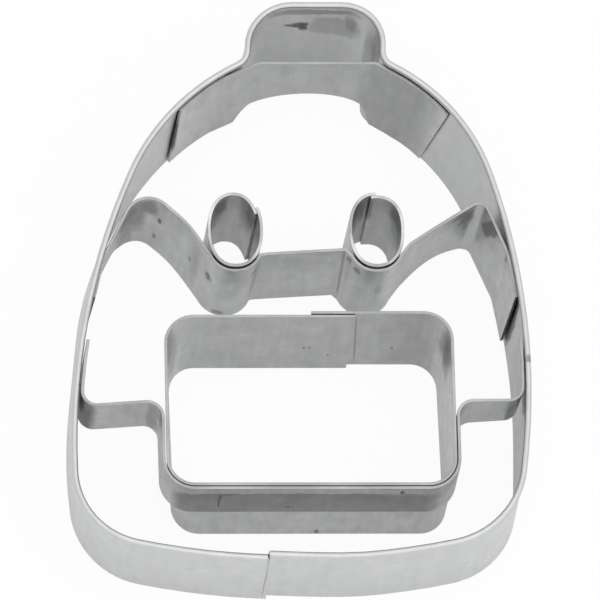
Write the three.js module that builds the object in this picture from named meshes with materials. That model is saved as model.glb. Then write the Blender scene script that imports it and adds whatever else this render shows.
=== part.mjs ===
import * as THREE from "three";

// Backpack cookie cutter: seven strips of sheet steel, bent to shape and spot-welded together.
// Millimetres. X to the right, Y away from the front, Z up. The cutter stands on its cutting edge
// at Z = 0 and the middle of the band's footprint is the origin.

// Sheet
const SHEET = 0.3; // thickness of every strip
const GAP = 0.2; // play between strips that are welded to each other
const BEAD = 0.8; // diameter of the rolled rim
const CHORD = 0.012; // largest distance between a bend and the facets that follow it

// Heights, all measured up from the cutting edge. The band, the pocket and the cradle are flush
// at the top; the neck and flap strips end below the rolled rim.
const BAND_TOP = 18;
const UNDER_RIM = BAND_TOP - BEAD - GAP;
const NECK_FOOT = 0.5;
const FLAP_FOOT = 0.5;
const RING_TOP = 17.5;
const CRADLE_FOOT = 9.6;

// Outer band, right half: radii of the centre line and the turn of each bend in degrees
const LEAN = 0.058; // the outline leans to the right by this much per millimetre of depth
const RACK = 0.022; // by how much less it leans at the cutting edge
const RACK_Y = -28; // depth at which the rim and the cutting edge stand above each other
const FAR_DRAW = 0.036; // share by which the far half of the band draws in at the cutting edge
const NEAR_DRAW = 0.011; // and the near half
const LEFT_SPLAY = 0.9; // the left side stands out beside the flap at the cutting edge by this much
const SPLAY_Y = 5; // depth at which it does so most
const SPLAY_HALF = 16; // and up to this far from there
const FRONT_SHIFT = 0.65; // the front stands further to the right at the cutting edge by this much
const HANDLE_Y = 36;
const HANDLE_HALF = 8.6;
const HANDLE_RADIUS = 5.4;
const HANDLE_LENGTH = 0.8; // straight stretch before the neck
const NECK_RADIUS = 2.2;
const NECK_TURN = 62.5;
const SHOULDER_RADIUS = 27.2;
const SHOULDER_TURN = 42;
const SIDE_RADIUS = 91.2;
const SIDE_TURN = 25.5;
const CORNER_RADIUS = 10.5;
const CORNER_TURN = 73;
const SEAM = 3.4; // from the middle of the front to the seam, to the left
const TONGUE_LENGTH = 6; // end of the band that lies behind the seam
const JOGGLE_LENGTH = 14; // over which the tongue steps back to the outline

// Neck strip
const NECK_RIGHT_END_Y = 21.6; // where its ends lie on the shoulders
const NECK_LEFT_END_Y = 22.2;
const NECK_LEAVE_Y = 26.6; // where it leaves the shoulders
const NECK_Y = 28.4; // the straight stretch across the neck
const NECK_RIGHT = 8;
const NECK_LEFT = 7;
const NECK_BEND = 1.2;
const NECK_SLANT = 1.6; // the right end is cut back at the foot by this much
const SLANT_LENGTH = 6; // stretch of the strip that follows the slant
const ARCH_X = 0.45; // relief in the lower edge
const ARCH_HALF = 8.8;
const ARCH_CREST = 7.9;
const ARCH_FACET = 0.5; // longest facet along it

// Buckle rings
const RING_X = 8.95;
const RING_Y = 5.6;
const RING_HALF_X = 3.3;
const RING_HALF_Y = 4.8;
const RING_FULLNESS = 2.25; // 2 would be an ellipse, more fills its corners
const RING_LAP = 9; // overlap of its ends in degrees
const RING_EASE = 70; // the inner end steps in over this angle
const RING_TWIST = 0.08; // its far side leans to the right at the foot by this much of its depth
const LEFT_RING_SEAM = 35; // angle of its outer end
const RIGHT_RING_SEAM = 91;

// Flap strip: its bends, the arms drawn by hand and so not quite alike
const FLAP_END_Y = -3.2;
const FLAP_LEAVE_Y = 2.6;
const FLAP_HALF = 5; // the straight stretch between the rings
const FLAP_LEFT_Y = 2.5;
const FLAP_RIGHT_Y = 3.1;
const FLAP_LEFT_BEND = 1;
const FLAP_RIGHT_BEND = 0.2;
const FLAP_FACET = 1; // longest facet along it
const CUP_REACH = 55; // half of the angle that the cup takes round the ring
const LEFT_ARM = { x: -14.8, y: 6.5 }; // where the arm bends away from the cup
const RIGHT_ARM = { x: 13.3, y: 3.9 };
const LEFT_ARM_BEND = 12;
const RIGHT_ARM_BEND = 2;
const LEFT_PEAK = { x: -21.4, y: 11.9 }; // where the arm meets the band
const RIGHT_PEAK = { x: 22.1, y: 9.95 };
const LEFT_PEAK_BEND = 3;
const RIGHT_PEAK_BEND = 1.2;
const LEFT_BULGE = 0.6; // the arms bulge away from the front at the foot by this much
const RIGHT_BULGE = 1.2;

// Pocket ring
const POCKET_HALF = 18.05;
const POCKET_FAR = -5.7;
const POCKET_NEAR = -28.45;
const POCKET_FAR_RADIUS = 3.6;
const POCKET_NEAR_RADIUS = 3.4;
const POCKET_OUTER_END = 0.4; // the two ends of the strip in the far wall
const POCKET_INNER_END = 5.9;
const POCKET_DRAW = 1.5; // its left wall leans in at the foot by this much
const POCKET_TILT = 0.45; // its foot stands nearer to the front by this much

// Cradle strip
const CRADLE_END_Y = -9.2;
const CRADLE_LEAVE_Y = -14.6;
const CRADLE_Y = -17.4; // the two arms
const CRADLE_SAG = 0.7; // the left arm stands nearer to the front by this much at the band
const CRADLE_BAND_BEND = 1.8;
const CRADLE_POCKET_BEND = 2;
const CRADLE_TILT = 1.2; // the right arm leans away from the front by this much over the full height

// Distance between the centre lines of two strips that lie on each other, of the two ends of a
// ring, and of a strip and the band beside whose rolled rim it lies
const LAYER = SHEET + GAP;
const RING_LAYER = SHEET + GAP / 2;
const BESIDE_RIM = BEAD / 2 + GAP + SHEET / 2;

const radians = THREE.MathUtils.degToRad;
const at = (x, y) => new THREE.Vector2(x, y);
const lean = (x, y) => at(x + LEAN * y, y);
const mirrored = (points) => points.map((p) => new THREE.Vector2(-p.x, p.y)).reverse();

// Number of straight pieces that keep within CHORD of an arc
function pieces(radius, angle) {
  return Math.ceil(Math.abs(angle) / (2 * Math.acos(1 - CHORD / Math.max(radius, 2 * CHORD))));
}

// Walks along runs and bends from a point. A bend turns left when its turn is positive.
function walk(start, heading, legs) {
  const points = [start.clone()];
  let angle = radians(heading);
  for (const { run = 0, radius = 0, turn = 0 } of legs) {
    const here = points[points.length - 1];
    if (run) {
      points.push(new THREE.Vector2(here.x + run * Math.cos(angle), here.y + run * Math.sin(angle)));
      continue;
    }
    const swing = radians(turn);
    const reach = radius * Math.sign(swing);
    const centre = new THREE.Vector2(here.x - reach * Math.sin(angle), here.y + reach * Math.cos(angle));
    const count = pieces(radius, swing);
    for (let i = 1; i <= count; i += 1) {
      const a = angle + (swing * i) / count;
      points.push(new THREE.Vector2(centre.x + reach * Math.sin(a), centre.y - reach * Math.cos(a)));
    }
    angle += swing;
  }
  return points;
}

// Joins corners by straight lines and rounds each corner that has a bend radius.
function bent(corners) {
  const points = [];
  corners.forEach(({ at, bend = 0 }, i) => {
    if (!bend) {
      points.push(at.clone());
      return;
    }
    const before = corners[i - 1].at.clone().sub(at).normalize();
    const after = corners[i + 1].at.clone().sub(at).normalize();
    const half = Math.acos(THREE.MathUtils.clamp(before.dot(after), -1, 1)) / 2;
    const centre = before.clone().add(after).normalize().multiplyScalar(bend / Math.sin(half)).add(at);
    const first = before.clone().multiplyScalar(bend / Math.tan(half)).add(at).sub(centre);
    const swing = (Math.PI - 2 * half) * -Math.sign(before.cross(after));
    const count = pieces(bend, swing);
    for (let k = 0; k <= count; k += 1) {
      points.push(first.clone().rotateAround(new THREE.Vector2(), (swing * k) / count).add(centre));
    }
  });
  return points;
}

// Left-hand normal at each point, long enough for a parallel path at distance one
function normals(path) {
  return path.map((p, i) => {
    const a = path[Math.max(i - 1, 0)];
    const b = path[Math.min(i + 1, path.length - 1)];
    const into = i ? p.clone().sub(a).normalize() : b.clone().sub(p).normalize();
    const out = i < path.length - 1 ? b.clone().sub(p).normalize() : into;
    const middle = into.clone().add(out).normalize();
    return new THREE.Vector2(-middle.y, middle.x).divideScalar(middle.dot(into));
  });
}

const shifted = (path, distance) => {
  const sides = normals(path);
  return path.map((p, i) => p.clone().addScaledVector(sides[i], distance));
};

// Distance walked along a path up to each of its points
function mileage(path) {
  const marks = [0];
  for (let i = 1; i < path.length; i += 1) {
    marks.push(marks[i - 1] + path[i].distanceTo(path[i - 1]));
  }
  return marks;
}

// Stretch of an open path between two distances along it
function stretch(path, from, to) {
  const marks = mileage(path);
  const pick = (s) => {
    const i = Math.min(Math.max(marks.findIndex((m) => m >= s), 1), path.length - 1);
    return path[i - 1].clone().lerp(path[i], (s - marks[i - 1]) / (marks[i] - marks[i - 1]));
  };
  const inside = path.filter((p, i) => marks[i] > from + 0.05 && marks[i] < to - 0.05);
  return [pick(from), ...inside, pick(to)];
}

// Adds points so that no piece of the path is longer than a given length.
function divided(path, length) {
  return path.flatMap((p, i) => {
    if (!i) {
      return [p];
    }
    const count = Math.ceil(p.distanceTo(path[i - 1]) / length);
    return Array.from({ length: count }, (_, k) => path[i - 1].clone().lerp(p, (k + 1) / count));
  });
}

// Sections: [distance to the left of the path, height] pairs
const flat = (foot, top) => [
  [-SHEET / 2, foot],
  [SHEET / 2, foot],
  [SHEET / 2, top],
  [-SHEET / 2, top],
];

// Upright sheet whose upper edge is rolled to a given radius
function rolled(radius, top) {
  const edge = Math.asin(SHEET / 2 / radius);
  const from = edge - Math.PI / 2;
  const swing = 2 * (Math.PI - edge);
  const count = 14;
  const round = Array.from({ length: count + 1 }, (_, i) => {
    const a = from + (swing * i) / count;
    return [radius * Math.cos(a), top - radius + radius * Math.sin(a)];
  });
  return [[-SHEET / 2, 0], [SHEET / 2, 0], ...round];
}

const steel = new THREE.MeshStandardMaterial({ color: 0xc6c8ca, roughness: 0.32, metalness: 1 });

const cutter = new THREE.Group();
cutter.name = "backpack_cookie_cutter";

// Sweeps a section along a path and closes both ends. The walls lean with the racked band, and
// further by what footAt gives for the foot.
function addStrip(name, path, sectionAt, footAt = (p) => p) {
  const sides = normals(path);
  const sections = path.map((p, i) => sectionAt(p, i));
  const size = sections[0].length;
  const points = path.flatMap((p, i) =>
    sections[i].flatMap(([left, up]) => {
      const spot = p.clone().addScaledVector(sides[i], left);
      const foot = footAt(spot);
      const racked = at(foot.x - RACK * (foot.y - RACK_Y), foot.y);
      spot.lerp(racked, 1 - up / BAND_TOP);
      return [spot.x, spot.y, up];
    })
  );
  const faces = [];
  for (let i = 0; i < path.length - 1; i += 1) {
    for (let j = 0; j < size; j += 1) {
      const a = i * size + j;
      const b = i * size + ((j + 1) % size);
      faces.push(a, b, b + size, a, b + size, a + size);
    }
  }
  const cap = (i) => {
    const outline = sections[i].map(([left, up]) => new THREE.Vector2(left, up));
    return THREE.ShapeUtils.triangulateShape(outline, []).map((t) => t.map((k) => i * size + k));
  };
  cap(0).forEach(([a, b, c]) => faces.push(a, c, b));
  cap(path.length - 1).forEach(([a, b, c]) => faces.push(a, b, c));
  const geometry = new THREE.BufferGeometry();
  geometry.setAttribute("position", new THREE.Float32BufferAttribute(points, 3));
  geometry.setIndex(faces);
  geometry.computeVertexNormals();
  const mesh = new THREE.Mesh(geometry, steel);
  mesh.name = name;
  cutter.add(mesh);
}

// Outline of the band: the right half from the middle of the handle to the middle of the front,
// the radius of the front following from the width that is left to close
const toFront = [
  { run: HANDLE_HALF - HANDLE_RADIUS },
  { radius: HANDLE_RADIUS, turn: -90 },
  { run: HANDLE_LENGTH },
  { radius: NECK_RADIUS, turn: NECK_TURN },
  { radius: SHOULDER_RADIUS, turn: -SHOULDER_TURN },
  { radius: SIDE_RADIUS, turn: -SIDE_TURN },
  { radius: CORNER_RADIUS, turn: -CORNER_TURN },
];
const top = new THREE.Vector2(0, HANDLE_Y);
const frontTurn = 90 + NECK_TURN - SHOULDER_TURN - SIDE_TURN - CORNER_TURN;
const frontRadius = walk(top, 0, toFront).pop().x / Math.sin(radians(frontTurn));
const half = walk(top, 0, [...toFront, { radius: frontRadius, turn: -frontTurn }]);

// Closed outline, anticlockwise from the middle of the front, gone round twice so that a
// stretch may run past the start
const rightUp = half.slice().reverse();
const leftDown = mirrored(rightUp);
const onceRound = [...rightUp, ...leftDown.slice(1)].map((p) => lean(p.x, p.y));
const outline = [...onceRound, ...onceRound.slice(1)];
const round = mileage(onceRound).pop();

// Distance along the outline at which the right or the left side stands at a given depth
function sideAt(depth, right) {
  const marks = mileage(onceRound);
  const crosses = onceRound.map((p, i) => i > 0 && (p.y - depth) * (onceRound[i - 1].y - depth) <= 0);
  const i = right ? crosses.indexOf(true) : crosses.lastIndexOf(true);
  const share = (depth - onceRound[i - 1].y) / (onceRound[i].y - onceRound[i - 1].y);
  return marks[i - 1] + share * (marks[i] - marks[i - 1]);
}

// Path of a strip that lies inside the band between two depths on one side
function tab(nearDepth, farDepth, right, inside = LAYER) {
  const [from, to] = [sideAt(nearDepth, right), sideAt(farDepth, right)].sort((a, b) => a - b);
  return shifted(stretch(outline, from, to), inside);
}

const corner = (at, bend = 0) => ({ at, bend });
const plain = (points) => points.map((at) => corner(at));

// Outer band: from the tongue behind the seam all the way round to the seam
const tongueEnd = round - SEAM - TONGUE_LENGTH;
const bandPath = [
  ...stretch(outline, tongueEnd, round - SEAM - GAP),
  ...stretch(outline, round - SEAM, 2 * round - SEAM - GAP),
];
const bandMarks = mileage(bandPath);
const stepped = normals(bandPath).map((side, i) => {
  const back = THREE.MathUtils.smoothstep(bandMarks[i], TONGUE_LENGTH, TONGUE_LENGTH + JOGGLE_LENGTH);
  return bandPath[i].clone().addScaledVector(side, LAYER * (1 - back));
});
const bandSection = (p, i) =>
  bandMarks[i] < TONGUE_LENGTH - GAP / 2 ? rolled(SHEET * 0.52, UNDER_RIM) : rolled(BEAD / 2, BAND_TOP);
const splay = (p) => {
  const along = Math.max(1 - Math.abs(p.y - SPLAY_Y) / SPLAY_HALF, 0);
  const out = THREE.MathUtils.smoothstep(-p.x, -LEFT_ARM.x, -LEFT_PEAK.x);
  return LEFT_SPLAY * out * THREE.MathUtils.smoothstep(along, 0, 1);
};
const drawnIn = (p) => {
  const far = Math.max(p.y / HANDLE_Y, 0);
  const front = THREE.MathUtils.smoothstep(-p.y, HANDLE_Y / 2, HANDLE_Y);
  const draw = far > 0 ? FAR_DRAW : NEAR_DRAW;
  return at(p.x * (1 - FAR_DRAW * far) + FRONT_SHIFT * front - splay(p), p.y * (1 - draw));
};
addStrip("outer_band", stepped, bandSection, drawnIn);

// Neck strip: inside both shoulders and straight across the neck, arched below
const neckPath = bent([
  ...plain(tab(NECK_RIGHT_END_Y, NECK_LEAVE_Y, true)),
  corner(lean(NECK_RIGHT, NECK_Y), NECK_BEND),
  corner(lean(-NECK_LEFT, NECK_Y), NECK_BEND),
  ...plain(tab(NECK_LEFT_END_Y, NECK_LEAVE_Y, false)),
]);
const neckSection = (p) => {
  const share = (p.x - LEAN * p.y - ARCH_X) / ARCH_HALF;
  const rise = Math.sqrt(Math.max(1 - share * share, 0));
  return flat(NECK_FOOT + (ARCH_CREST - NECK_FOOT) * rise, UNDER_RIM);
};
const neckEnd = neckPath[0];
const fromEnd = neckPath[1].clone().sub(neckEnd).normalize();
const neckFoot = (p) => {
  const slant = NECK_SLANT * Math.max(1 - p.distanceTo(neckEnd) / SLANT_LENGTH, 0);
  return drawnIn(p).addScaledVector(fromEnd, slant);
};
addStrip("neck_strip", divided(neckPath, ARCH_FACET), neckSection, neckFoot);

// Point of a full oval round the middle of a ring, at a distance outside the ring's own oval
function oval(x, angle, outside) {
  const full = (share) => Math.sign(share) * Math.abs(share) ** (2 / RING_FULLNESS);
  return at(
    x + (RING_HALF_X + outside) * full(Math.cos(angle)),
    RING_Y + (RING_HALF_Y + outside) * full(Math.sin(angle))
  );
}

// Buckle rings: oval strips whose inner end steps in behind the outer end. The way is 1 for a ring
// that is bent anticlockwise and -1 for the other.
function addRing(name, x, seam, way) {
  const total = 360 + RING_LAP;
  const count = pieces(RING_HALF_Y, radians(total)) * 2;
  const path = Array.from({ length: count + 1 }, (_, i) => {
    const turned = (total * i) / count;
    const behind = RING_LAYER * THREE.MathUtils.smoothstep(turned, 360 - RING_EASE, 360);
    return oval(x, radians(seam + way * turned), -behind);
  });
  const ringFoot = (p) => at(p.x + RING_TWIST * (p.y - RING_Y + RING_HALF_Y), p.y);
  addStrip(name, path, () => flat(FLAP_FOOT, RING_TOP), ringFoot);
}
addRing("left_buckle_ring", -RING_X, LEFT_RING_SEAM, -1);
addRing("right_buckle_ring", RING_X, RIGHT_RING_SEAM, 1);

// Flap strip: tab, arm, cup, straight middle, cup, arm, tab
const cup = (x) => {
  const count = pieces(RING_HALF_Y, radians(2 * CUP_REACH)) * 2;
  return Array.from({ length: count + 1 }, (_, i) => {
    return oval(x, radians(-90 + CUP_REACH - (2 * CUP_REACH * i) / count), LAYER);
  });
};
const flapPath = bent([
  ...plain(tab(FLAP_END_Y, FLAP_LEAVE_Y, true)),
  corner(lean(RIGHT_PEAK.x, RIGHT_PEAK.y), RIGHT_PEAK_BEND),
  corner(at(RIGHT_ARM.x, RIGHT_ARM.y), RIGHT_ARM_BEND),
  ...plain(cup(RING_X)),
  corner(at(FLAP_HALF, FLAP_RIGHT_Y), FLAP_RIGHT_BEND),
  corner(at(-FLAP_HALF, FLAP_LEFT_Y), FLAP_LEFT_BEND),
  ...plain(cup(-RING_X)),
  corner(at(LEFT_ARM.x, LEFT_ARM.y), LEFT_ARM_BEND),
  corner(lean(LEFT_PEAK.x, LEFT_PEAK.y), LEFT_PEAK_BEND),
  ...plain(tab(FLAP_END_Y, FLAP_LEAVE_Y, false)),
]);
const flapFoot = (p) => {
  const right = p.x > 0;
  const arm = right ? RIGHT_ARM : LEFT_ARM;
  const peak = right ? RIGHT_PEAK : LEFT_PEAK;
  const share = THREE.MathUtils.clamp((p.x - arm.x) / (peak.x - arm.x), 0, 1);
  return at(p.x - splay(p), p.y + (right ? RIGHT_BULGE : LEFT_BULGE) * Math.sin(Math.PI * share));
};
addStrip("flap_strip", divided(flapPath, FLAP_FACET), () => flat(FLAP_FOOT, UNDER_RIM), flapFoot);

// Pocket ring: rounded rectangle, its left end lying inside its right end in the far wall
const pocketPath = bent([
  corner(at(POCKET_INNER_END, POCKET_FAR - LAYER)),
  corner(at(-POCKET_HALF, POCKET_FAR - LAYER), POCKET_FAR_RADIUS),
  corner(at(-POCKET_HALF, POCKET_NEAR), POCKET_NEAR_RADIUS),
  corner(at(POCKET_HALF, POCKET_NEAR), POCKET_NEAR_RADIUS),
  corner(at(POCKET_HALF, POCKET_FAR), POCKET_FAR_RADIUS),
  corner(at(POCKET_OUTER_END, POCKET_FAR)),
]);
const pocketFoot = (p) => {
  const toTheLeft = (POCKET_HALF - p.x) / (2 * POCKET_HALF);
  return at(p.x + POCKET_DRAW * toTheLeft, p.y - POCKET_TILT);
};
addStrip("pocket_ring", pocketPath, () => flat(0, BAND_TOP), pocketFoot);

// Cradle strip: tab, arm, round the near side of the pocket, arm, tab
const cradleHalf = POCKET_HALF + LAYER;
const cradleNear = POCKET_NEAR - LAYER;
const rightBend = tab(CRADLE_Y, CRADLE_LEAVE_Y, true, BESIDE_RIM)[0];
const leftBend = tab(CRADLE_Y - CRADLE_SAG, CRADLE_LEAVE_Y, false, BESIDE_RIM).pop();
const cradlePath = bent([
  ...plain(tab(CRADLE_END_Y, CRADLE_LEAVE_Y, false, BESIDE_RIM)),
  corner(leftBend, CRADLE_BAND_BEND),
  corner(at(-cradleHalf, CRADLE_Y), CRADLE_POCKET_BEND),
  corner(at(-cradleHalf, cradleNear), POCKET_NEAR_RADIUS + LAYER),
  corner(at(cradleHalf, cradleNear), POCKET_NEAR_RADIUS + LAYER),
  corner(at(cradleHalf, CRADLE_Y), CRADLE_POCKET_BEND),
  corner(rightBend, CRADLE_BAND_BEND),
  ...plain(tab(CRADLE_END_Y, CRADLE_LEAVE_Y, true, BESIDE_RIM)),
]);
const cradleFoot = (p) => {
  const rightArm = THREE.MathUtils.smoothstep(p.x, cradleHalf, cradleHalf + 2 * CRADLE_POCKET_BEND);
  return at(p.x, p.y - POCKET_TILT + CRADLE_TILT * rightArm);
};
addStrip("cradle_strip", cradlePath, () => flat(CRADLE_FOOT, BAND_TOP), cradleFoot);

// Middle of the band's footprint to the origin
const box = new THREE.Box3().setFromObject(cutter);
const middle = box.getCenter(new THREE.Vector3());
cutter.children.forEach((mesh) => mesh.geometry.translate(-middle.x, -middle.y, 0));

export default cutter;
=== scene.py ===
"""Backpack cookie cutter: bent strips of bright sheet steel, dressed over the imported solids."""
import math
from collections import namedtuple

import bmesh
import bpy
from mathutils import Matrix, Vector
from mathutils.bvhtree import BVHTree


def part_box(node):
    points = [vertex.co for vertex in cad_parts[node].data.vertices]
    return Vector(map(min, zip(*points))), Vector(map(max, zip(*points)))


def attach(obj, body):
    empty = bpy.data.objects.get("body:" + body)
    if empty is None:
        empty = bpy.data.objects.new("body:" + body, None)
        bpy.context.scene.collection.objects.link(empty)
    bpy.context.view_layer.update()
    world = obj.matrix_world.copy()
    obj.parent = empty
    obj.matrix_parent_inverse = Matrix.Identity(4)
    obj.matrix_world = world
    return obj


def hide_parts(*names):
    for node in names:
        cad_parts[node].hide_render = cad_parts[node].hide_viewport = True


bl_info = {
    "name": "Backpack cookie cutter",
    "version": (1, 0, 0),
    "blender": (4, 5, 0),
    "location": "View3D > Sidebar > Cutter",
    "description": "Dresses the solids of a sheet-steel cookie cutter and lights them for a product shot",
    "category": "Object",
}

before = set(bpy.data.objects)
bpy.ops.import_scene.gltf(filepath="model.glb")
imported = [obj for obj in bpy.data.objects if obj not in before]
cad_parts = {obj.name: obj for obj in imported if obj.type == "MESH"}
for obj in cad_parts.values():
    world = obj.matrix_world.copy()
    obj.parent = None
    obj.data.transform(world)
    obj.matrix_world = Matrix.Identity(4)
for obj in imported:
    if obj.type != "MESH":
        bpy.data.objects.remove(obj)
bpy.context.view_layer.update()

MM = 0.001


def linear(code):
    """Linear colour of an sRGB hex code such as c8c9cb."""
    shares = [int(code[i:i + 2], 16) / 255 for i in (0, 2, 4)]
    return [c / 12.92 if c <= 0.04045 else ((c + 0.055) / 1.055) ** 2.4 for c in shares]


def per_metre(size_mm):
    """Texture scale whose features are about this many millimetres across."""
    return 1 / (size_mm * MM)


# Painted shade on the strips, with some stains and weld marks among it, in millimetres: dark marks laid
# where shadow falls in the gaps under the rim and beside the tabs, rings and strip ends, where bends and
# corners are shaded, and as broad painted shade over walls such as the cradle's front, the pocket's far
# wall, the neck and the handle, standing in for their darker reflections. Each holds the middle of the
# mark, its reach along X, Y and Z, how dark it is, how much of it is evenly dark, its turn about X, Y and
# Z
# in degrees, and its corners: 0 for an ellipsoid, 1 for a fuller form and 2 for nearly a box
Mark = namedtuple("Mark", "middle reach dark even turn corners", defaults=((0, 0, 0), 1))
PAINTED_SHADE_AND_STAINS = {
    "outer_band": (
        Mark((0.3, 36.4, 12.0), (1.3, 1.2, 0.6), 0.9, 0.2),
        Mark((1.1, 36.4, 12.0), (1.1, 1.2, 1.0), 0.95, 0.3),
        Mark((1.7, 36.4, 11.8), (0.9, 1.2, 1.5), 1.0, 0.3),
        Mark((5.6, 36.2, 11.8), (4.0, 1.6, 3.0), 0.42, 0.6, (0, 14, 0)),
        Mark((7.8, 36.2, 12.8), (1.2, 1.3, 3.2), 0.6, 0.1),
        Mark((2.7, 36.6, 15.9), (7.5, 1.2, 0.9), 0.55, 0.5),
        Mark((10.3, 33.2, 10.5), (0.9, 2.0, 6.0), 0.4, 0.4),
        Mark((1.0, 36.2, 7.0), (10.0, 2.0, 13.0), 0.17, 0.4),
        Mark((27.8, -2.8, 8.5), (0.8, 0.75, 8.5), 0.95, 0.6),
        Mark((27.7, -3.3, 9.3), (0.8, 0.5, 2.2), 0.95, 0.5),
        Mark((27.7, -3.5, 5.5), (0.8, 0.4, 1.5), 0.9, 0.5),
        Mark((28.7, -10.8, 17.8), (0.6, 0.5, 0.6), 0.6, 0.4),
        Mark((-4.45, -36.8, 9.0), (0.14, 1.0, 9.5), 0.45, 0.5),
        Mark((-4.5, -36.7, 16.6), (0.2, 0.8, 1.2), 0.95, 0.5),
    ),
    "neck_strip": (
        Mark((-14.85, 22.4, 9.3), (0.45, 0.45, 6.4), 0.95, 0.5),
        Mark((0.0, 28.5, 9.0), (17.0, 7.0, 16.0), 0.2, 0.5),
        Mark((13.5, 26.5, 9.0), (7.0, 5.0, 18.0), 0.4, 0.3),
    ),
    "flap_strip": (
        Mark((24.7, 7.8, 14.4), (1.2, 1.2, 4.2), 0.8, 0.7, (20, 0, 0)),
        Mark((21.0, 9.3, 15.6), (1.3, 1.2, 1.6), 0.7, 0.4),
        Mark((21.8, 9.7, 13.2), (1.2, 1.2, 3.0), 0.75, 0.4),
        Mark((22.0, 9.9, 9.8), (0.5, 1.0, 2.0), 0.5, 0.3),
        Mark((-18.7, 10.9, 14.2), (1.7, 1.6, 3.4), 0.7, 0.35),
        Mark((-20.1, 10.9, 10.5), (1.7, 1.7, 7.0), 0.6, 0.2),
        Mark((-21.2, 10.3, 7.0), (1.3, 1.7, 8.0), 0.6, 0.2),
        Mark((-11.0, 2.7, 11.1), (0.6, 0.9, 1.3), 0.5, 0.3),
        Mark((-12.6, 4.9, 9.5), (1.4, 1.6, 10.0), 0.35, 0.0, corners=0),
        Mark((-9.5, 1.4, 1.6), (1.0, 0.9, 0.9), 0.6, 0.3),
        Mark((-5.5, 2.2, 13.6), (0.5, 0.8, 1.2), 0.4, 0.3),
        Mark((6.6, 3.3, 15.6), (0.4, 0.6, 0.9), 0.6, 0.4),
        Mark((7.6, 2.0, 15.2), (0.5, 0.7, 1.2), 0.65, 0.4),
        Mark((10.6, 1.2, 10.3), (0.6, 0.6, 2.2), 0.25, 0.3),
        Mark((5.95, 3.9, 9.5), (0.2, 1.0, 9.5), 0.5, 0.5),
    ),
    "left_buckle_ring": (
        Mark((-9.6, 10.7, 14.2), (1.2, 1.0, 2.8), 0.55, 0.4),
        Mark((-5.6, 9.2, 14.8), (0.7, 2.0, 3.8), 0.55, 0.3),
    ),
    "right_buckle_ring": (
        Mark((9.5, 11.2, 13.4), (0.45, 0.8, 4.6), 0.7, 0.2),
        Mark((8.6, 11.0, 12.2), (0.35, 0.8, 4.4), 0.5, 0.3),
        Mark((7.6, 10.0, 14.0), (1.3, 1.5, 3.5), 0.35, 0.3),
        Mark((12.8, 7.8, 15.0), (0.9, 3.6, 2.6), 0.6, 0.4),
    ),
    "pocket_ring": (
        Mark((7.6, -5.1, 9.0), (0.2, 0.8, 10.5), 0.6, 0.5, (0, -2.8, 0)),
        Mark((18.6, -8.4, 12.8), (1.0, 3.6, 5.0), 0.55, 0.2),
        Mark((-15.9, -7.0, 9.0), (1.0, 1.5, 9.0), 0.35, 0.3),
        Mark((1.0, -5.6, 10.0), (19.0, 1.5, 14.0), 0.25, 0.5),
        Mark((14.0, -5.4, 10.0), (6.0, 1.6, 16.0), 0.34, 0.3),
    ),
    "cradle_strip": (
        Mark((-2.2, -28.2, 11.3), (14.4, 1.8, 5.2), 0.6, 0.9, corners=2),
        Mark((9.4, -28.2, 11.3), (8.4, 1.8, 5.3), 0.6, 0.7, corners=2),
        Mark((-10.4, -28.2, 13.6), (0.2, 0.8, 3.0), 0.95, 0.6),
        Mark((-9.8, -28.2, 15.7), (1.7, 0.8, 0.45), 0.8, 0.3),
        Mark((-10.3, -28.2, 14.4), (0.6, 0.9, 2.0), 0.95, 0.2, corners=0),
        Mark((-26.9, -16.6, 13.0), (1.6, 1.4, 6.0), 0.5, 0.3),
        Mark((-18.6, -17.3, 13.5), (0.9, 1.5, 6.0), 0.45, 0.3),
        Mark((26.9, -15.9, 13.5), (1.1, 1.4, 6.0), 0.5, 0.3),
    ),
}
RAGGED = 1.0  # millimetres by which the outline of a broad mark wanders
BAY = 1.6  # millimetres across one bay of that outline
TURNED_AWAY = 0.1  # a face whose normal points this far to the back shows no marks

# Spot welds on the faces of the strips, in millimetres; each is longer upright than it is wide
Weld = namedtuple("Weld", "middle width")
WELD_LENGTH = 2.6  # length of a weld over its width
HALO_DARK = 0.6  # how dark the sheet is round a weld
WELDS = {
    "flap_strip": (
        Weld((-17.0, 10.1, 10.9), 0.6), Weld((-17.4, 10.4, 4.8), 0.55), Weld((-13.1, 5.8, 8.8), 0.45),
        Weld((-11.0, 2.7, 11.1), 0.75), Weld((26.4, 3.3, 15.6), 0.6)),
    "cradle_strip": (
        Weld((12.4, -28.1, 16.6), 0.5), Weld((-1.6, -28.2, 11.3), 0.35)),
    "pocket_ring": (
        Weld((2.7, -28.0, 0.9), 0.5), Weld((1.2, -5.6, 7.1), 0.3), Weld((1.9, -5.6, 7.3), 0.3),
        Weld((4.4, -5.7, 4.6), 0.3), Weld((12.5, -5.2, 6.0), 0.35)),
}


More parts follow.
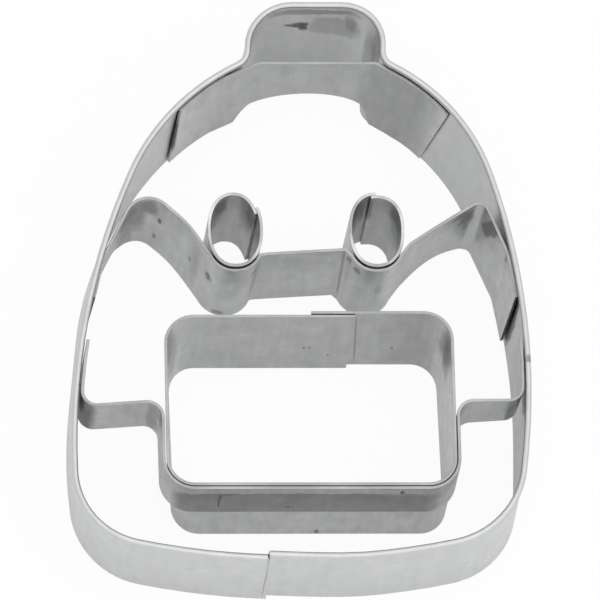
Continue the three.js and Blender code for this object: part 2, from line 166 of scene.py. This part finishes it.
class CutterSteel(bpy.types.PropertyGroup):
    """Finish and edges of the sheet."""

    sheet: bpy.props.FloatVectorProperty(
        name="Sheet", description="Colour of the rolled sheet",
        subtype="COLOR", size=3, min=0, max=1, default=linear("cacbcc"))
    band: bpy.props.FloatVectorProperty(
        name="Band", description="Colour of the outer band's sheet, which is brighter stock",
        subtype="COLOR", size=3, min=0, max=1, default=linear("cecfd0"))
    dulling: bpy.props.FloatProperty(
        name="Dulling", description="Share of the light that handled and stained sheet loses",
        subtype="FACTOR", min=0, max=1, default=0.17)
    # Colour towards which the painted shade and the stains darken the sheet
    shade_and_stain_colour: bpy.props.FloatVectorProperty(
        name="Tarnish", description="Colour of the darkest marks",
        subtype="COLOR", size=3, min=0, max=1, default=linear("4c4c4e"))
    edge: bpy.props.FloatVectorProperty(
        name="Cut edge", description="Colour of the sheared edges",
        subtype="COLOR", size=3, min=0, max=1, default=linear("a8a9aa"))
    # Painted glints: the near-white patches on the rings' edges are partly polish and partly painted
    # light catching them
    polish_and_glint: bpy.props.FloatVectorProperty(
        name="Polished edge", description="Colour of the edges where use has polished them",
        subtype="COLOR", size=3, min=0, max=1, default=linear("f0f0f0"))
    # Painted sheen: the rolled rim is a brighter copy of the band's steel, standing in for the light on
    # the bead
    rim: bpy.props.FloatVectorProperty(
        name="Rolled rim", description="Colour of the rim that the rolling die has burnished",
        subtype="COLOR", size=3, min=0, max=1, default=linear("d6d7d8"))
    burr: bpy.props.FloatVectorProperty(
        name="Burr", description="Colour of the sheared ends",
        subtype="COLOR", size=3, min=0, max=1, default=linear("58585a"))
    heat: bpy.props.FloatVectorProperty(
        name="Heat tint", description="Colour of the spot welds",
        subtype="COLOR", size=3, min=0, max=1, default=linear("808082"))
    fullness: bpy.props.FloatProperty(
        name="Fullness", description="Swelling of each face, so that pressed strips nearly touch",
        unit="LENGTH", default=0.048 * MM)
    rounding: bpy.props.FloatProperty(
        name="Edge rounding", description="How far the sheared edges are tumbled round",
        unit="LENGTH", default=0.06 * MM)
    bead: bpy.props.FloatProperty(
        name="Rim height", description="Height of the rolled rim",
        unit="LENGTH", default=0.8 * MM)
    weld_rise: bpy.props.FloatProperty(
        name="Weld rise", description="How far a spot weld stands out of the sheet",
        unit="LENGTH", default=0.03 * MM)


class CutterStage(bpy.types.PropertyGroup):
    """Camera and table of the product shot."""

    azimuth: bpy.props.FloatProperty(
        name="Azimuth", description="Turn of the camera round the cutter",
        subtype="ANGLE", default=math.radians(-11.75))
    elevation: bpy.props.FloatProperty(
        name="Elevation", description="Height of the camera above the table",
        subtype="ANGLE", default=math.radians(69.8))
    roll: bpy.props.FloatProperty(
        name="Roll", description="Turn of the picture about the line of sight",
        subtype="ANGLE", default=math.radians(11.09))
    distance: bpy.props.FloatProperty(
        name="Distance", description="From the camera to the point looked at",
        unit="LENGTH", default=1155 * MM)
    target: bpy.props.FloatVectorProperty(
        name="Target", description="Point looked at",
        subtype="TRANSLATION", size=3, default=(1.09 * MM, 1.01 * MM, 9 * MM))
    lens: bpy.props.FloatProperty(
        name="Lens", description="Focal length in millimetres", default=546.1)
    shift: bpy.props.FloatVectorProperty(
        name="Shift", description="Offset of the picture in pixels",
        size=2, default=(-2.7, -6.1))
    floor: bpy.props.FloatVectorProperty(
        name="Floor", description="Colour of the table",
        subtype="COLOR", size=3, min=0, max=1, default=linear("f4f4f4"))


def add(tree, kind, inputs=None, **settings):
    """Adds a node; inputs gives each named or numbered socket a value or another node's output."""
    node = tree.nodes.new(kind)
    for name, value in settings.items():
        setattr(node, name, value)
    for name, value in (inputs or {}).items():
        if isinstance(value, bpy.types.NodeSocket):
            tree.links.new(value, node.inputs[name])
        else:
            node.inputs[name].default_value = value
    return node


def new_material(name):
    """An empty node material and its tree."""
    material = bpy.data.materials.new(name)
    material.use_nodes = True
    material.node_tree.nodes.clear()
    return material, material.node_tree


# Sizes of the patterns along X, Y and Z, in millimetres; real rolling streaks and torn grain are
# finer and are drawn as coarse as the picture needs
BLOTCH = (2.2, 2.2, 2.8)
STREAK = (0.9, 0.9, 9.0)
WAVE = (11, 11, 11)
WEAR_AND_GLINT_PATCH = (6, 6, 6)
TORN_GRAIN = (0.6, 0.6, 0.6)
WAVE_DEPTH = 0.05
WAVE_STRENGTH = 0.4

# Values of a pattern between which the sheet dulls, an edge brightens or a surface roughens
DULLING = {"From Min": 0.75, "From Max": 1.3}
WEAR_AND_GLINT_RANGE = {"From Min": 0.4, "From Max": 0.7}
ROUGHENING = {"From Min": 0.3, "From Max": 0.7}

# Roughness of each finish where it is smoothest and where it is roughest
SATIN = {"To Min": 0.27, "To Max": 0.33}
BURNISHED = {"To Min": 0.42, "To Max": 0.5}
SHEARED = {"To Min": 0.3, "To Max": 0.5}
POLISHED = {"To Min": 0.25, "To Max": 0.4}
DARK_END = {"To Min": 0.4, "To Max": 0.6}
HEATED = {"To Min": 0.35, "To Max": 0.5}

# Shares of the strips' dulling that the band's brighter stock and its rolled rim show; the rim's lighter,
# less dulled steel is painted sheen on the bead
BAND_SHARE = 1 / 2
RIM_SHARE = 1 / 3


def painted_shade_and_stains_of(tree, coordinates, strip):
    """Socket of the darkness that painted shade, stains and weld halos give the faces that a strip turns
    to the front.
    """
    place = coordinates["Object"]
    halos = [
        Mark(weld.middle, (weld.width, weld.width, weld.width * WELD_LENGTH), HALO_DARK, 0.0, corners=0)
        for weld in WELDS.get(strip, ())]
    wander = add(tree, "ShaderNodeTexNoise", {"Vector": place, "Scale": per_metre(BAY), "Detail": 3.0})
    ragged = add(tree, "ShaderNodeVectorMath", {
        0: wander.outputs["Color"], 1: [RAGGED * MM] * 3, 2: place}, operation="MULTIPLY_ADD").outputs[0]
    darkest = 0.0
    for mark in (*PAINTED_SHADE_AND_STAINS[strip], *halos):
        thin = min(mark.reach) < RAGGED / 2
        around = add(tree, "ShaderNodeMapping", {
            "Vector": place if thin else ragged,
            "Location": [v * MM + (0 if thin else RAGGED * MM / 2) for v in mark.middle],
            "Rotation": [math.radians(v) for v in mark.turn],
            "Scale": [v * MM for v in mark.reach]}, vector_type="TEXTURE").outputs[0]
        for _ in range(mark.corners):
            around = add(tree, "ShaderNodeVectorMath", {
                0: around, 1: around}, operation="MULTIPLY").outputs[0]
        away = add(tree, "ShaderNodeVectorMath", {0: around}, operation="LENGTH").outputs["Value"]
        dark = add(tree, "ShaderNodeMapRange", {
            "Value": away, "From Min": 1.0, "From Max": mark.even ** 2 ** mark.corners,
            "To Max": mark.dark}, interpolation_type="SMOOTHSTEP").outputs[0]
        darkest = add(tree, "ShaderNodeMath", {0: dark, 1: darkest}, operation="MAXIMUM").outputs[0]
    # Painted shade and stains are laid only on faces turned to the front
    backward = add(tree, "ShaderNodeSeparateXYZ", {0: coordinates["Normal"]}).outputs["Y"]
    front = add(tree, "ShaderNodeMapRange", {
        "Value": backward, "From Min": TURNED_AWAY, "From Max": 0.0}).outputs[0]
    return add(tree, "ShaderNodeMath", {0: darkest, 1: front}, operation="MULTIPLY").outputs[0]


def uneven_pattern(tree, place, size_mm, detail=2.0):
    """Socket of an uneven pattern whose patches have the given size along X, Y and Z."""
    scaled = add(tree, "ShaderNodeMapping", {
        "Vector": place, "Scale": [per_metre(v) for v in size_mm]}).outputs[0]
    return add(tree, "ShaderNodeTexNoise", {
        "Vector": scaled, "Scale": 1.0, "Detail": detail}).outputs[0]


def rolled_sheet(name, strip, clean, dulling, roughness):
    """Cold-rolled stainless sheet: satin, softly blotched and faintly streaked, with its own stains and
    painted shade.
    """
    steel = bpy.context.scene.cutter_steel
    material, tree = new_material(name)
    coordinates = add(tree, "ShaderNodeTexCoord").outputs
    place = coordinates["Object"]
    blotches = uneven_pattern(tree, place, BLOTCH, detail=5.0)
    streaks = uneven_pattern(tree, place, STREAK, detail=3.0)
    clouded = add(tree, "ShaderNodeMath", {0: blotches, 1: streaks}, operation="ADD").outputs[0]
    dulled = add(tree, "ShaderNodeMapRange", {"Value": clouded, **DULLING}).outputs[0]
    dull = [c * (1 - dulling) for c in clean]
    sheet = add(tree, "ShaderNodeMix", {
        "Factor": dulled, "A": [*clean, 1], "B": [*dull, 1]}, data_type="RGBA")
    # Painted shade and stains: the marks darken the sheet towards their colour
    marked = add(tree, "ShaderNodeMix", {
        "Factor": painted_shade_and_stains_of(tree, coordinates, strip),
        "A": sheet.outputs["Result"], "B": [*steel.shade_and_stain_colour, 1]}, data_type="RGBA")
    rough = add(tree, "ShaderNodeMapRange", {"Value": blotches, **ROUGHENING, **roughness}).outputs[0]
    wavy = add(tree, "ShaderNodeBump", {
        "Height": uneven_pattern(tree, place, WAVE, detail=1.0),
        "Strength": WAVE_STRENGTH, "Distance": WAVE_DEPTH * MM}).outputs[0]
    shader = add(tree, "ShaderNodeBsdfPrincipled", {
        "Base Color": marked.outputs["Result"], "Metallic": 1.0, "Roughness": rough, "Normal": wavy})
    add(tree, "ShaderNodeOutputMaterial", {"Surface": shader.outputs[0]})
    return material


def torn_steel(name, dull, bright, roughness):
    """Sheared stainless steel: grainy where the blade tore it and brighter in patches, which on the edges
    are wear and painted glints; made once.
    """
    if name in bpy.data.materials:
        return bpy.data.materials[name]
    material, tree = new_material(name)
    place = add(tree, "ShaderNodeTexCoord").outputs["Object"]
    wear_and_glint_patches = add(tree, "ShaderNodeMapRange", {
        "Value": uneven_pattern(tree, place, WEAR_AND_GLINT_PATCH), **WEAR_AND_GLINT_RANGE}).outputs[0]
    colour = add(tree, "ShaderNodeMix", {
        "Factor": wear_and_glint_patches, "A": [*dull, 1], "B": [*bright, 1]}, data_type="RGBA")
    rough = add(tree, "ShaderNodeMapRange", {
        "Value": uneven_pattern(tree, place, TORN_GRAIN), **ROUGHENING, **roughness}).outputs[0]
    shader = add(tree, "ShaderNodeBsdfPrincipled", {
        "Base Color": colour.outputs["Result"], "Metallic": 1.0, "Roughness": rough})
    add(tree, "ShaderNodeOutputMaterial", {"Surface": shader.outputs[0]})
    return material


MERGE = 0.001 * MM  # vertices closer than this are one
FOLD = math.radians(50)  # edges sharper than this are sheared corners and get rounded
FLAT = math.radians(0.4)  # facets closer than this belong to one flat stretch
LEVEL = 0.8  # a face whose normal rises by more than this lies level
FACE, EDGE, END, RIM = range(4)  # material slots of a strip


def part_of_strip(face, rim_height):
    """Slot of a face: rolled rim, sheared long edge, sheared end or the face of the sheet."""
    if face.calc_center_median().z > rim_height:
        return RIM
    if abs(face.normal.z) > LEVEL:
        return EDGE
    return END if all(edge.calc_face_angle(0) > FOLD for edge in face.edges) else FACE


def finishes_of(strip, rolled, polished):
    """Materials of a strip in the order of its slots; only a strip with a rolled rim has the last."""
    steel = bpy.context.scene.cutter_steel
    clean = steel.band if rolled else steel.sheet
    dulling = steel.dulling * BAND_SHARE if rolled else steel.dulling
    face = rolled_sheet("cold_rolled_stainless_" + strip, strip, clean, dulling, SATIN)
    if polished:
        # The rings' edges get near-white patches, which are polish and painted glints
        edge = torn_steel("stainless_edge_painted_glints", steel.edge, steel.polish_and_glint, POLISHED)
        return [face, edge, edge]
    handled = [c * (1 - steel.dulling) for c in steel.sheet]
    edge = torn_steel("sheared_stainless_edge", steel.edge, handled, SHEARED)
    # The sheared ends are drawn nearly black
    end = torn_steel("dark_sheared_end", steel.burr, steel.heat, DARK_END)
    if not rolled:
        return [face, edge, end]
    # The rim's brighter, less dulled copy of the steel is painted sheen on the bead
    rim = rolled_sheet("stainless_rim_painted_sheen", strip, steel.rim, steel.dulling * RIM_SHARE, BURNISHED)
    return [face, edge, end, rim]


def new_object(name, shape, materials):
    """An object in the scene that takes a finished bmesh."""
    mesh = bpy.data.meshes.new(name)
    shape.to_mesh(mesh)
    shape.free()
    for material in materials:
        mesh.materials.append(material)
    thing = bpy.data.objects.new(name, mesh)
    bpy.context.scene.collection.objects.link(thing)
    return thing


def new_piece(name, shape, materials):
    """An object that rides on the cutter."""
    piece = new_object(name, shape, materials)
    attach(piece, "root")
    return piece


def swell(shape, fullness):
    """Moves the faces of a strip outwards, level with the table."""
    shape.normal_update()
    steps = [vert.normal.xy.normalized() * fullness for vert in shape.verts]
    for vert, step in zip(shape.verts, steps):
        vert.co.xy += step


def dress(strip, rim_height=math.inf, polished=False):
    """A smooth copy of one strip's solid with its sheared edges tumbled round."""
    steel = bpy.context.scene.cutter_steel
    rolled = rim_height < math.inf
    shape = bmesh.new()
    shape.from_mesh(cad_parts[strip].data)
    bmesh.ops.remove_doubles(shape, verts=shape.verts, dist=MERGE)
    bmesh.ops.dissolve_limit(shape, angle_limit=FLAT, verts=shape.verts, edges=shape.edges)
    for face in shape.faces:
        face.material_index = part_of_strip(face, rim_height)
    if not rolled:
        swell(shape, steel.fullness)
    sheared = [edge for edge in shape.edges if edge.calc_face_angle(0) > FOLD]
    bmesh.ops.bevel(
        shape, geom=sheared, offset=steel.rounding, segments=2, profile=0.5,
        affect="EDGES", material=-1, clamp_overlap=True)
    for face in shape.faces:
        face.smooth = True
    piece = new_piece(strip + "_sheet", shape, finishes_of(strip, rolled, polished))
    weighted = piece.modifiers.new("flat faces stay flat", "WEIGHTED_NORMAL")
    weighted.mode = "FACE_AREA"
    weighted.keep_sharp = True
    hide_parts(strip)


class CUTTER_OT_band(bpy.types.Operator):
    """Dress the cutting band with its rolled rim"""

    bl_idname = "cutter.band"
    bl_label = "Outer band"

    def execute(self, context):
        _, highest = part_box("outer_band")
        dress("outer_band", rim_height=highest[2] - context.scene.cutter_steel.bead)
        return {"FINISHED"}


class CUTTER_OT_strips(bpy.types.Operator):
    """Dress the strips that are welded to the band by their tabs"""

    bl_idname = "cutter.strips"
    bl_label = "Neck, flap and cradle strips"

    def execute(self, context):
        for strip in ("neck_strip", "flap_strip", "cradle_strip"):
            dress(strip)
        return {"FINISHED"}


class CUTTER_OT_rings(bpy.types.Operator):
    """Dress the two oval buckle rings and the pocket ring"""

    bl_idname = "cutter.rings"
    bl_label = "Buckle rings and pocket"

    def execute(self, context):
        dress("left_buckle_ring", polished=True)
        dress("right_buckle_ring", polished=True)
        dress("pocket_ring")
        return {"FINISHED"}


class CUTTER_OT_welds(bpy.types.Operator):
    """Set the heat-darkened spot welds on the strips"""

    bl_idname = "cutter.welds"
    bl_label = "Spot welds"

    def execute(self, context):
        steel = context.scene.cutter_steel
        for strip, welds in WELDS.items():
            sheet = bmesh.new()
            sheet.from_mesh(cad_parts[strip].data)
            faces = BVHTree.FromBMesh(sheet)
            shape = bmesh.new()
            for weld in welds:
                spot, normal, _, _ = faces.find_nearest(Vector(weld.middle) * MM)
                seat = Matrix.Translation(spot + normal * steel.fullness)
                turn = normal.to_track_quat("Z", "Y").to_matrix().to_4x4()
                radius = weld.width / 2 * MM
                dome = Matrix.Diagonal((radius, radius * WELD_LENGTH, steel.weld_rise, 1))
                bmesh.ops.create_icosphere(shape, subdivisions=2, radius=1, matrix=seat @ turn @ dome)
            sheet.free()
            for face in shape.faces:
                face.smooth = True
            heated = torn_steel("heat_tinted_stainless", steel.heat, steel.edge, HEATED)
            new_piece(strip + "_spot_welds", shape, [heated])
        return {"FINISHED"}


TABLE_HALF = 1.5  # metres from the middle of the table to its sides
TABLE_DROP = 0.01 * MM  # the table lies this far under the cutting edge
LAMINATE_GRAIN = 3  # millimetres
LAMINATE = {"To Min": 0.55, "To Max": 0.7}  # roughness of the table
PAPER_IN_STEEL = 0.3  # share of plain white in the table that the steel mirrors
PAPER_IN_VIEW = 0.94  # share of plain white in the table that the camera sees
HORIZON, ZENITH = 0.65, 1.0  # strength of the room as the camera and the steel see it
ROOM_LIGHT = 0.6  # strength of the room as it lights the cutter and the table
SENSOR = 36.0  # millimetres
IMAGE_WIDTH = 600  # pixels of the photograph, which is square
NEAREST, FARTHEST = 0.01, 10  # metres from the camera that the picture takes in


def white_laminate():
    """White laminate: matt, pale, and shown as white paper to the camera and in the steel."""
    stage = bpy.context.scene.cutter_stage
    material, tree = new_material("white_laminate")
    path = add(tree, "ShaderNodeLightPath").outputs
    place = add(tree, "ShaderNodeTexCoord").outputs["Object"]
    grain = add(tree, "ShaderNodeTexNoise", {
        "Vector": place, "Scale": per_metre(LAMINATE_GRAIN)}).outputs[0]
    rough = add(tree, "ShaderNodeMapRange", {"Value": grain, **LAMINATE}).outputs[0]
    lit = add(tree, "ShaderNodeBsdfPrincipled", {"Base Color": [*stage.floor, 1], "Roughness": rough})
    paper = add(tree, "ShaderNodeEmission", {"Color": (1, 1, 1, 1), "Strength": 1.0})
    seen = add(tree, "ShaderNodeMath", {
        0: path["Is Glossy Ray"], 1: path["Is Transmission Ray"]}, operation="MAXIMUM").outputs[0]
    mirrored = add(tree, "ShaderNodeMath", {
        0: seen, 1: PAPER_IN_STEEL}, operation="MULTIPLY").outputs[0]
    direct = add(tree, "ShaderNodeMath", {
        0: path["Is Camera Ray"], 1: PAPER_IN_VIEW}, operation="MULTIPLY").outputs[0]
    share = add(tree, "ShaderNodeMath", {0: mirrored, 1: direct}, operation="MAXIMUM").outputs[0]
    both = add(tree, "ShaderNodeMixShader", {0: share, 1: lit.outputs[0], 2: paper.outputs[0]})
    add(tree, "ShaderNodeOutputMaterial", {"Surface": both.outputs[0]})
    return material


def lay_table():
    """A wide white table under the cutting edge."""
    plane = bmesh.new()
    bmesh.ops.create_grid(plane, x_segments=1, y_segments=1, size=TABLE_HALF)
    bmesh.ops.translate(plane, verts=plane.verts, vec=(0, 0, -TABLE_DROP))
    table = new_object("table", plane, [white_laminate()])


def white_room():
    """A white room, which is brighter overhead to the camera and the steel and even as a light."""
    world = bpy.data.worlds.new("white_room")
    world.use_nodes = True
    tree = world.node_tree
    tree.nodes.clear()
    path = add(tree, "ShaderNodeLightPath").outputs
    seen = add(tree, "ShaderNodeMath", {
        0: path["Is Camera Ray"], 1: path["Is Glossy Ray"]}, operation="MAXIMUM").outputs[0]
    seen = add(tree, "ShaderNodeMath", {
        0: seen, 1: path["Is Transmission Ray"]}, operation="MAXIMUM").outputs[0]
    towards = add(tree, "ShaderNodeTexCoord").outputs["Generated"]
    height = add(tree, "ShaderNodeSeparateXYZ", {0: towards}).outputs["Z"]
    sky = add(tree, "ShaderNodeMapRange", {
        "Value": height, "To Min": HORIZON, "To Max": ZENITH}).outputs[0]
    strength = add(tree, "ShaderNodeMapRange", {
        "Value": seen, "To Min": ROOM_LIGHT, "To Max": sky}).outputs[0]
    room = add(tree, "ShaderNodeBackground", {"Color": (1, 1, 1, 1), "Strength": strength})
    add(tree, "ShaderNodeOutputWorld", {"Surface": room.outputs[0]})
    return world


def soft_box(name, place, width, watts):
    """A square soft box that faces the cutter; place and width in metres."""
    lamp = bpy.data.lights.new(name, "AREA")
    lamp.shape = "SQUARE"
    lamp.size = width
    lamp.energy = watts
    box = bpy.data.objects.new(name, lamp)
    turn = Vector(place).to_track_quat("Z", "Y").to_matrix().to_4x4()
    box.matrix_world = Matrix.Translation(place) @ turn
    bpy.context.scene.collection.objects.link(box)
    return box


def photograph_camera():
    """The camera that takes the cutter as the photograph shows it."""
    stage = bpy.context.scene.cutter_stage
    azimuth, elevation, roll = stage.azimuth, stage.elevation, stage.roll
    back = Vector((
        math.sin(azimuth) * math.cos(elevation),
        -math.cos(azimuth) * math.cos(elevation),
        math.sin(elevation)))
    level = Vector((math.cos(azimuth), math.sin(azimuth), 0))
    upright = back.cross(level)
    right = math.cos(roll) * level + math.sin(roll) * upright
    up = back.cross(right)
    eye = Vector(stage.target) + back * stage.distance
    lens = bpy.data.cameras.new("photograph_camera")
    lens.sensor_width = SENSOR
    lens.lens = stage.lens
    lens.shift_x, lens.shift_y = [s / IMAGE_WIDTH for s in stage.shift]
    lens.clip_start = NEAREST
    lens.clip_end = FARTHEST
    camera = bpy.data.objects.new("photograph_camera", lens)
    camera.matrix_world = Matrix.Translation(eye) @ Matrix((right, up, back)).transposed().to_4x4()
    bpy.context.scene.collection.objects.link(camera)
    return camera


class CUTTER_OT_stage(bpy.types.Operator):
    """Set the table, the light and the camera"""

    bl_idname = "cutter.stage"
    bl_label = "Stage"

    def execute(self, context):
        scene = context.scene
        lay_table()
        scene.world = white_room()
        soft_box("front_soft_box", place=(0.3, -0.5, 0.95), width=2.5, watts=7.5)
        overhead = soft_box("overhead_soft_box", place=(0.05, -0.05, 1.2), width=0.6, watts=3.5)
        # The steel mirrors the room and the front box, and shows this one only by what it lights
        overhead.visible_glossy = False
        scene.camera = photograph_camera()
        scene.view_settings.view_transform = "Standard"
        return {"FINISHED"}


STEPS = (CUTTER_OT_band, CUTTER_OT_strips, CUTTER_OT_rings, CUTTER_OT_welds, CUTTER_OT_stage)


class CUTTER_PT_panel(bpy.types.Panel):
    """Lists the steps that dress the cutter"""

    bl_label = "Backpack cookie cutter"
    bl_idname = "CUTTER_PT_panel"
    bl_space_type = "VIEW_3D"
    bl_region_type = "UI"
    bl_category = "Cutter"

    def draw(self, context):
        for step in STEPS:
            self.layout.operator(step.bl_idname)


CLASSES = (CutterSteel, CutterStage, *STEPS, CUTTER_PT_panel)


def register():
    for kind in CLASSES:
        bpy.utils.register_class(kind)
    bpy.types.Scene.cutter_steel = bpy.props.PointerProperty(type=CutterSteel)
    bpy.types.Scene.cutter_stage = bpy.props.PointerProperty(type=CutterStage)


def unregister():
    del bpy.types.Scene.cutter_stage
    del bpy.types.Scene.cutter_steel
    for kind in reversed(CLASSES):
        bpy.utils.unregister_class(kind)


def main():
    register()
    bpy.ops.cutter.band()
    bpy.ops.cutter.strips()
    bpy.ops.cutter.rings()
    bpy.ops.cutter.welds()
    bpy.ops.cutter.stage()


if __name__ == "__main__":
    main()
